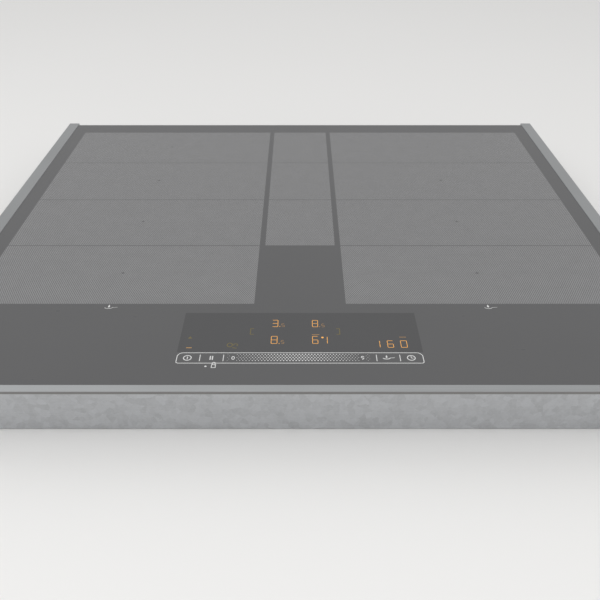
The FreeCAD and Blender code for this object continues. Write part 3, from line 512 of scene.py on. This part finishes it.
def inkBand(bm, outer, inner):
    low, high = glassTop - inkLook["under"], glassTop + inkLook["over"]
    loops = [[bm.verts.new((x * mm, y * mm, z * mm)) for x, y in loop]
             for loop, z in ((outer, low), (outer, high), (inner, high), (inner, low))]
    for first, second in zip(loops, loops[1:] + loops[:1]):
        for here in range(len(outer)):
            there = (here + 1) % len(outer)
            bm.faces.new((first[here], first[there], second[there], second[here]))


def oval(x, y, wide, deep, count=36):
    turn = [2 * math.pi * step / count for step in range(count)]
    return [(x + wide / 2 * math.cos(a), y + deep / 2 * math.sin(a)) for a in turn]


def inkRing(bm, x, y, wide, deep, line):
    inkBand(bm, oval(x, y, wide, deep), oval(x, y, wide - 2 * line, deep - 2 * line))


# a line of even width through the points
def inkLine(bm, points, line):
    left, right = [], []
    for number, point in enumerate(points):
        before = Vector(points[max(number - 1, 0)])
        after = Vector(points[min(number + 1, len(points) - 1)])
        along = (after - before).normalized()
        side = Vector((-along.y, along.x)) * line / 2
        left.append(tuple(Vector(point) + side))
        right.append(tuple(Vector(point) - side))
    inkShape(bm, left + right[::-1])


def arc(x, y, radius, start, end, count=14):
    steps = [math.radians(start + (end - start) * step / count) for step in range(count + 1)]
    return [(x + radius * math.cos(a), y + radius * math.sin(a)) for a in steps]


# Symbols on the keys, between the separators of the touch strip

stripLow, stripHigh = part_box("touch_bar_print")
stripY = (stripLow.y + stripHigh.y) / 2 / mm
keyLook = {
    "line": 0.72, "ring": (6.4, 6.3), "power": -83.0, "powerBar": 3.0,
    "pause": -65.3, "pan": 63.9, "panDown": -0.9, "clock": 82.0,
}
pauseBars = {"apart": 1.64, "high": 4.4, "line": 0.85}
clockHands = {"long": 1.9, "short": 1.6, "line": 0.6}
panLook = {  # in steps of the sign's scale
    "half": 2.6, "deep": 1.3, "rim": 0.85,
    "handle": [(2.6, 0.8), (6.0, 1.1)],
    "handleLine": 0.65,
    "drop": [(0, 4.2), (-0.7, 2.2), (-0.5, 1.0), (0.5, 1.0), (0.7, 2.2)],
}


def panSign(bm, x, y, scale, line):
    def placed(points):
        return [(x + u * scale, y + v * scale) for u, v in points]

    dish = [(u * panLook["half"], panLook["rim"] + v * panLook["deep"]) for u, v in arc(0, 0, 1, 185, 355, 10)]
    inkLine(bm, placed(dish), line)
    inkLine(bm, placed(panLook["handle"]), panLook["handleLine"] * line)
    inkShape(bm, placed(panLook["drop"]))


# Numerals 0 and 9 at the ends of the slider

endLook = {
    "first": -49.3, "last": 46.2, "wide": 2.5, "high": 4.2, "line": 0.62,
    "bend": (0.8, -0.6), "foot": -0.3,  # of the 9's tail, from the middle
}


def endNumerals(bm):
    wide, high, line = endLook["wide"], endLook["high"], endLook["line"]
    inkRing(bm, endLook["first"], stripY, wide, high, line)
    nine, eye = endLook["last"], stripY + (high - wide) / 2
    inkRing(bm, nine, eye, wide, wide, line)
    bend = (nine + endLook["bend"][0], stripY + endLook["bend"][1])
    foot = (nine + endLook["foot"], stripY - high / 2)
    inkLine(bm, [(nine + (wide - line) / 2, eye), bend, foot], line)


def keySymbols():
    bm = bmesh.new()
    line = keyLook["line"]
    for key in ("power", "clock"):
        inkRing(bm, keyLook[key], stripY, *keyLook["ring"], line)
    reach = keyLook["powerBar"] / 2
    inkLine(bm, [(keyLook["power"], stripY - reach), (keyLook["power"], stripY + reach)], line)
    reach = pauseBars["high"] / 2
    for side in (-1, 1):
        x = keyLook["pause"] + side * pauseBars["apart"] / 2
        inkLine(bm, [(x, stripY - reach), (x, stripY + reach)], pauseBars["line"])
    clock, hand = keyLook["clock"], clockHands["line"]
    inkLine(bm, [(clock, stripY + clockHands["long"]), (clock, stripY)], hand)
    inkLine(bm, [(clock, stripY - hand / 2), (clock + clockHands["short"], stripY - hand / 2)], hand)
    panSign(bm, keyLook["pan"], stripY + keyLook["panDown"], 1.0, line)
    endNumerals(bm)
    makePiece("key_symbols", bm, "white_print")


# Padlock in outline, whose bow reaches over the strip's front line, and the dot before it

lockLook = {"x": -62.9, "top": -1.2, "wide": 3.4, "high": 3.9, "bow": 1.05, "leg": 1.4, "line": 0.58}
lockDot = {"x": -68.6, "y": -3.4, "wide": 1.7}


def corners(x, y, wide, high):
    return [(x + sx * wide / 2, y + sy * high / 2) for sx, sy in ((-1, -1), (1, -1), (1, 1), (-1, 1))]


def lockSign():
    bm = bmesh.new()
    front = stripLow.y / mm
    x, top, line = lockLook["x"], front + lockLook["top"], lockLook["line"]
    wide, high, bow = lockLook["wide"], lockLook["high"], lockLook["bow"]
    middle = top - high / 2
    inkBand(bm, corners(x, middle, wide, high), corners(x, middle, wide - 2 * line, high - 2 * line))
    inkLine(bm, [(x + bow, top), *arc(x, top + lockLook["leg"], bow, 0, 180), (x - bow, top)], line)
    inkShape(bm, oval(lockDot["x"], front + lockDot["y"], lockDot["wide"], lockDot["wide"], 20))
    makePiece("lock_sign", bm, "white_print")


zoneSigns = {"left": -155.6, "right": 153.2, "y": -160.6, "scale": 1.2, "line": 0.46}


def zonePanSigns():
    bm = bmesh.new()
    for side in ("left", "right"):
        panSign(bm, zoneSigns[side], zoneSigns["y"], zoneSigns["scale"], zoneSigns["line"])
    makePiece("zone_pan_signs", bm, "white_print")


# Slider field of dots, fullest in the middle

sliderLook = {
    "left": -53.4, "right": 51.4, "pitch": 2.3,
    "rows": 5, "rowStep": 1.8, "up": 0.5,
    "small": 0.22, "full": 0.61, "fade": 1.6,
    "clear": 2.7,  # the numerals stand free
}


def sliderDots():
    bm = bmesh.new()
    middle = (sliderLook["left"] + sliderLook["right"]) / 2
    reach = (sliderLook["right"] - sliderLook["left"]) / 2
    columns = int(2 * reach / sliderLook["pitch"])
    for row in range(sliderLook["rows"]):
        y = stripY + sliderLook["up"] + (row - (sliderLook["rows"] - 1) / 2) * sliderLook["rowStep"]
        for column in range(columns + 1):
            x = sliderLook["left"] + sliderLook["pitch"] * (column + (row % 2) / 2)
            beside = min(abs(x - endLook["first"]), abs(x - endLook["last"]))
            if x > sliderLook["right"] or beside < sliderLook["clear"]:
                continue
            fullness = 1 - abs((x - middle) / reach) ** sliderLook["fade"]
            radius = sliderLook["small"] + (sliderLook["full"] - sliderLook["small"]) * fullness
            inkShape(bm, oval(x, y, 2 * radius, 2 * radius, 10))
    makePiece("slider_dots", bm, "white_print")


# Numerals and pointers that light up in the display window

segmentsOf = {"0": "abcdef", "1": "bc", "3": "abcdg", "5": "acdfg", "6": "acdefg", "8": "abcdefg"}
displayLook = {
    "stroke": 0.41, "gap": 0.07,
    "smallUnder": 6.0, "smallStroke": 0.75,  # low numerals have thinner strokes
    # numeral, middle x, lowest y, width, height, finish
    "numerals": [
        ("3", -19.5, -186.1, 4.7, 9.0, "amber_light"), ("5", -13.3, -186.1, 2.4, 4.3, "half_light"),
        ("8", 11.8, -186.3, 4.6, 9.0, "amber_light"), ("5", 18.0, -186.4, 2.4, 4.3, "half_light"),
        ("8", -19.7, -207.6, 4.9, 9.4, "amber_light"), ("5", -13.3, -207.7, 2.4, 4.3, "half_light"),
        ("6", 11.6, -207.6, 4.5, 9.4, "amber_light"), ("1", 18.6, -207.6, 4.8, 8.8, "amber_light"),
        ("1", 58.2, -212.3, 4.8, 8.5, "amber_light"), ("6", 68.4, -212.3, 4.7, 8.6, "amber_light"),
        ("0", 78.6, -212.3, 5.0, 8.6, "amber_light"),
    ],
    # x, y, width
    "points": [(-15.8, -185.7, 0.7), (15.4, -186.0, 0.5), (-15.8, -207.3, 0.7), (17.2, -199.9, 1.85)],
}


def segmentBars(x, y, wide, high, stroke):
    left, right, top, middle = x - wide / 2, x + wide / 2, y + high, y + high / 2
    gap, half = displayLook["gap"], stroke / 2
    ends = {
        "a": ((left, top), (right, top)), "g": ((left, middle), (right, middle)), "d": ((left, y), (right, y)),
        "b": ((right, middle), (right, top)), "c": ((right, y), (right, middle)),
        "f": ((left, middle), (left, top)), "e": ((left, y), (left, middle)),
    }
    bars = {}
    for key, ((x0, y0), (x1, y1)) in ends.items():
        flat = y0 == y1
        along, side = ((1, 0), (0, 1)) if flat else ((0, 1), (1, 0))
        span = [(x0, y0, gap), (x0, y0, gap + half), (x1, y1, -gap - half), (x1, y1, -gap)]
        points = [(px + along[0] * step, py + along[1] * step) for px, py, step in span]
        bars[key] = [
            points[0],
            (points[1][0] - side[0] * half, points[1][1] - side[1] * half),
            (points[2][0] - side[0] * half, points[2][1] - side[1] * half),
            points[3],
            (points[2][0] + side[0] * half, points[2][1] + side[1] * half),
            (points[1][0] + side[0] * half, points[1][1] + side[1] * half),
        ]
    return bars


def displayNumerals():
    extras = {"amber_light": litPoints, "half_light": halfPointers, "dim_light": dimPointers}
    for finish, draw in extras.items():
        bm = bmesh.new()
        for numeral, x, y, wide, high, chosen in displayLook["numerals"]:
            if chosen != finish:
                continue
            stroke = displayLook["stroke"]
            if high < displayLook["smallUnder"]:
                stroke *= displayLook["smallStroke"]
            bars = segmentBars(x, y + stroke / 2, wide - stroke, high - stroke, stroke)
            for key in segmentsOf[numeral]:
                inkShape(bm, bars[key])
        draw(bm)
        makePiece("display_" + finish, bm, finish)


def litPoints(bm):
    for x, y, wide in displayLook["points"]:
        inkShape(bm, oval(x, y, wide, wide, 16))


# left end, right end, y, line
halfDashes = [(-85.6, -81.3, -212.6, 0.9), (76.0, 81.2, -199.4, 0.5), (9.1, 14.9, -196.2, 0.5)]
dimArrow = [(-85.7, -201.2), (-82.5, -201.2), (-84.1, -198.4)]
bracketLook = {
    "left": -37.1, "right": 29.5, "top": -188.6, "low": -195.8,
    "hook": 1.4, "back": 1.2, "line": 0.7,
}
loopSign = {
    "ring": (-53.0, -209.2, 4.6, 5.4, 0.8),  # middle, width, depth, line
    "tail": [(-50.9, -212.4), (-47.6, -213.2)], "tailLine": 0.8,
    "curl": (-48.6, -209.2, 1.5, -60, 200), "curlLine": 0.7,  # middle, radius, first and last angle
}


def dash(bm, left, right, y, line):
    inkLine(bm, [(left, y), (right, y)], line)


def halfPointers(bm):
    for place in halfDashes:
        dash(bm, *place)


# brackets of the coupled zones
def zoneBrackets(bm):
    line, half = bracketLook["line"], bracketLook["line"] / 2
    for side, x in ((1, bracketLook["left"]), (-1, bracketLook["right"])):
        back = x - side * bracketLook["back"]
        for y in (bracketLook["top"], bracketLook["low"]):
            dash(bm, x + side * bracketLook["hook"], back + side * half, y, line)
        inkLine(bm, [(back, bracketLook["top"] + half), (back, bracketLook["low"] - half)], line)


def dimPointers(bm):
    zoneBrackets(bm)
    inkShape(bm, dimArrow)
    inkRing(bm, *loopSign["ring"])
    inkLine(bm, loopSign["tail"], loopSign["tailLine"])
    inkLine(bm, arc(*loopSign["curl"]), loopSign["curlLine"])


# Small dark marks at the middle of each cooking row

rowMarkLook = {"x": 154.8, "reach": 1.5, "line": 0.9}


def rowMarks():
    bm = bmesh.new()
    reach, half = rowMarkLook["reach"], rowMarkLook["line"] / 2
    plus = [(half, half), (half, reach), (-half, reach), (-half, half), (-reach, half), (-reach, -half),
            (-half, -half), (-half, -reach), (half, -reach), (half, -half), (reach, -half), (reach, half)]
    for x in (-rowMarkLook["x"], rowMarkLook["x"]):
        for row in range(zoneLook["rows"]):
            y = (zoneFront + rowPitch * (row + 0.5)) / mm
            inkShape(bm, [(x + px, y + py) for px, py in plus])
    makePiece("row_marks", bm, "row_mark")


# Domed screw heads with a cross recess, over the plain heads of the solids

headLook = {
    "points": 48,
    "least": 0.5 * mm,  # what stands out less is no head
    "crown": 0.45 * mm,
    "side": [(1.02, 0.0), (1.02, 0.55), (0.93, 0.9)],  # shares of the radius and of the height
    "shoulder": (0.72, 0.8),  # shares of the radius and of the crown
    "slotReach": 0.62, "slotHalf": 0.16, "slotTaper": 0.86, "slotDepth": 0.9 * mm,
}


def islands(node):
    bm = bmesh.new()
    bm.from_mesh(frame["nodes"][node].data)
    bmesh.ops.remove_doubles(bm, verts=bm.verts, dist=1e-6)
    left, boxes = dict.fromkeys(bm.verts), []  # unlike a set, it keeps its order
    while left:
        grown, edge = [], [left.popitem()[0]]
        while edge:
            vert = edge.pop()
            grown.append(vert)
            for link in vert.link_edges:
                other = link.other_vert(vert)
                if other in left:
                    del left[other]
                    edge.append(other)
        spots = [v.co.copy() for v in grown]
        boxes.append((Vector(map(min, zip(*spots))), Vector(map(max, zip(*spots)))))
    bm.free()
    return boxes


def crossReach(angle, reach, half):
    c, s = abs(math.cos(angle)), abs(math.sin(angle))
    arms = [min(reach / a if a > 1e-9 else 1e9, half / b if b > 1e-9 else 1e9) for a, b in ((c, s), (s, c))]
    return max(arms)


# centre is where the head meets the sheet, out is the way it faces
def screwHead(bm, centre, out, radius, height):
    side = out.orthogonal().normalized()
    other = out.cross(side)
    count, crown = headLook["points"], headLook["crown"]
    angles = [2 * math.pi * step / count for step in range(count)]
    loops = [[(wide * radius, level * height)] * count for wide, level in headLook["side"]]
    wide, level = headLook["shoulder"]
    loops.append([(wide * radius, height + level * crown)] * count)
    for taper, depth in ((1.0, 0.0), (headLook["slotTaper"], headLook["slotDepth"])):
        reach, half = (taper * headLook[part] * radius for part in ("slotReach", "slotHalf"))
        loops.append([(crossReach(a, reach, half), height + crown - depth) for a in angles])
    made = [[bm.verts.new(centre + out * level + (side * math.cos(a) + other * math.sin(a)) * wide)
             for (wide, level), a in zip(loop, angles)] for loop in loops]
    for first, second in zip(made, made[1:]):
        for here in range(count):
            there = (here + 1) % count
            bm.faces.new((first[here], first[there], second[there], second[here]))
    bm.faces.new(made[0][::-1])
    bm.faces.new(made[-1])


def casingScrewHeads():
    bm = bmesh.new()
    trayLow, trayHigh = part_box("casing_tray")
    for low, high in islands("casing_screws"):
        middle = (low + high) / 2
        for axis in (0, 1):
            for way, end, wall in ((-1, low, trayLow), (1, high, trayHigh)):
                height = way * (end[axis] - wall[axis])
                if height > headLook["least"]:
                    centre, out = middle.copy(), Vector((0, 0, 0))
                    centre[axis], out[axis] = wall[axis], way
                    screwHead(bm, centre, out, (high.z - low.z) / 2, height)
    makePiece("casing_screw_heads", bm, "fastener_steel")


keySymbols()
lockSign()
zonePanSigns()
sliderDots()
displayNumerals()
rowMarks()
casingScrewHeads()


# Floor, light and camera

floorLook = {"size": 60.0, "level": -0.0002, "colour": (0.82, 0.815, 0.805)}


def floorPaint(wire):
    cloud = wire.noise(wire.place(), 1.4, 2.0)
    return {
        "Base Color": wire.blend(cloud, shade(floorLook["colour"], 0.985), shade(floorLook["colour"], 1.015)),
        "Roughness": 0.9,
        "Specular IOR Level": 0.1,
    }


def makeFloor():
    bm = bmesh.new()
    bmesh.ops.create_grid(bm, x_segments=2, y_segments=2, size=floorLook["size"] / 2)
    mesh = bpy.data.meshes.new("floor")
    bm.to_mesh(mesh)
    bm.free()
    mesh.materials.append(makeFinish("floor_paint", floorPaint))
    floor = bpy.data.objects.new("floor", mesh)
    floor.location.z = floorLook["level"]
    scene.collection.objects.link(floor)


lampLook = {
    "key": {"at": (-0.9, -1.2, 2.0), "size": 1.8, "power": 21.5},
    "fill": {"at": (1.5, -1.2, 1.0), "size": 1.4, "power": 5.0},
}
worldLook = {"horizon": (0.60, 0.60, 0.60), "zenith": (0.80, 0.80, 0.80)}


def makeLight():
    for name, lamp in lampLook.items():
        data = bpy.data.lights.new(name, "AREA")
        data.size = lamp["size"]
        data.energy = lamp["power"]
        holder = bpy.data.objects.new(name, data)
        holder.location = lamp["at"]
        holder.rotation_euler = (-Vector(lamp["at"])).to_track_quat("-Z", "Y").to_euler()
        scene.collection.objects.link(holder)
    world = scene.world or bpy.data.worlds.new("studio")
    scene.world = world
    world.use_nodes = True
    wire = Wire(world.node_tree)
    height = wire.node("ShaderNodeSeparateXYZ", {}, {0: wire.node("ShaderNodeTexCoord")}, 2)
    sky = next(n for n in world.node_tree.nodes if n.type == "BACKGROUND")
    glow = wire.blend(height.most(0.0), worldLook["horizon"], worldLook["zenith"])
    world.node_tree.links.new(glow.socket, sky.inputs["Color"])
    sky.inputs["Strength"].default_value = 1.0


cameraLook = {"at": (0.0, -0.6302, 0.3834), "down": 34.22, "lens": 42.3, "sensor": 36.0, "near": 0.01}


def makeCamera():
    data = bpy.data.cameras.new("camera")
    data.lens = cameraLook["lens"]
    data.sensor_width = cameraLook["sensor"]
    data.clip_start = cameraLook["near"]
    holder = bpy.data.objects.new("camera", data)
    holder.location = cameraLook["at"]
    holder.rotation_euler = (math.radians(90 - cameraLook["down"]), 0, 0)
    scene.collection.objects.link(holder)
    scene.camera = holder


makeFloor()
makeLight()
makeCamera()
scene.view_settings.view_transform = "Standard"
print("stage set")
